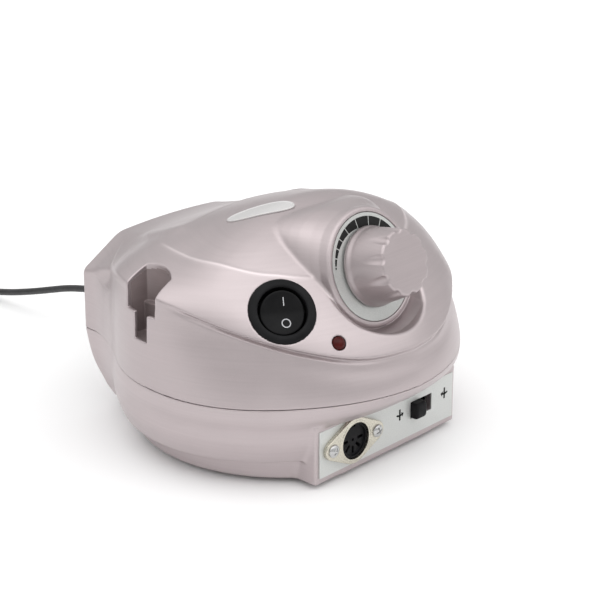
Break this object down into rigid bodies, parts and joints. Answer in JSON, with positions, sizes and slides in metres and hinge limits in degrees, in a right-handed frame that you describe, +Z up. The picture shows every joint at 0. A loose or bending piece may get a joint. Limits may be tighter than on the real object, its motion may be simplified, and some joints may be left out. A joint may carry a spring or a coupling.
{
  "type": "nail drill control box",
  "caption": "Round desktop control box for an electric nail file: tilted speed dial, rocker switch, direction slide, handpiece socket, side holder slots and a mains lead.",
  "frame": {"origin": "on the floor under the middle of the box without its mains lead", "axes": "+Z up, the front panel and dial face -Y, +X to the right seen from the front's back, so the rocker switch is at -X"},
  "size_m": [0.1543, 0.3167, 0.0886],
  "materials": {
    "shell": "satin rose-silver metallic paint",
    "knob": "satin rose-silver metallic paint",
    "rubber": "matt",
    "steel": "plain zinc",
    "label": "satin silver foil",
    "nickel": "dull nickel",
    "black_plastic": "fine matt",
    "lens": "clear red resin",
    "badge": "bare satin",
    "board": "solder-masked laminate",
    "fins": "extruded",
    "cap": "printed sleeve",
    "white_plastic": "natural nylon",
    "fuse_glass": "clear",
    "core": "varnished laminations",
    "winding": "enamelled copper under tape",
    "cord": "smooth",
    "tie": "plain"
  },
  "bodies": {
    "housing": {"top_shell": "shell", "base_shell": "shell", "rubber_feet": "rubber", "case_screws": "steel", "front_label": "label", "din_flange": "nickel", "din_insert": "black_plastic", "din_contacts": "nickel", "din_screws": "steel", "din_nuts": "steel", "slide_body": "black_plastic", "slide_frame": "steel", "slide_terminals": "nickel", "dial_plate": "label", "pot_bushing": "nickel", "pot_washer": "steel", "pot_nut": "nickel", "pot_body": "steel", "pot_terminals": "nickel", "rocker_bezel": "black_plastic", "rocker_terminals": "nickel", "lamp_lens": "lens", "lamp_leads": "steel", "badge_plate": "badge", "main_board": "board", "board_screws": "steel", "heat_sink": "fins", "power_transistor": "black_plastic", "bridge_rectifier": "black_plastic", "filter_capacitors": "cap", "control_chip": "black_plastic", "fuse_clips": "nickel", "fuse": "fuse_glass", "board_sockets": "white_plastic", "transformer_core": "core", "transformer_winding": "winding", "transformer_bracket": "steel", "transformer_screws": "steel", "cord_grommet": "rubber", "power_cord": "cord", "cord_coil": "cord", "cord_tie": "tie", "plug_body": "rubber", "plug_pins": "nickel"},
    "knob": {"speed_knob": "knob", "pot_shaft": "steel"},
    "rocker_paddle": {"rocker": "black_plastic"},
    "slide_button": {"slide_actuator": "black_plastic"}
  },
  "joints": [
    {"name": "knob_turn", "type": "hinge", "parent": "housing", "child": "knob", "pos_m": [0, -0.03945, 0.06895], "axis": [0, 0.9426, -0.3338], "range_deg": [0, 280]},
    {"name": "rocker_tilt", "type": "hinge", "parent": "housing", "child": "rocker_paddle", "pos_m": [-0.03688, -0.03243, 0.06009], "axis": [-0.8494, 0.5277, 0], "range_deg": [0, 16]},
    {"name": "direction_slide", "type": "slide", "parent": "housing", "child": "slide_button", "axis": [1, 0, 0], "range_m": [0, 0.0054]}
  ]
}
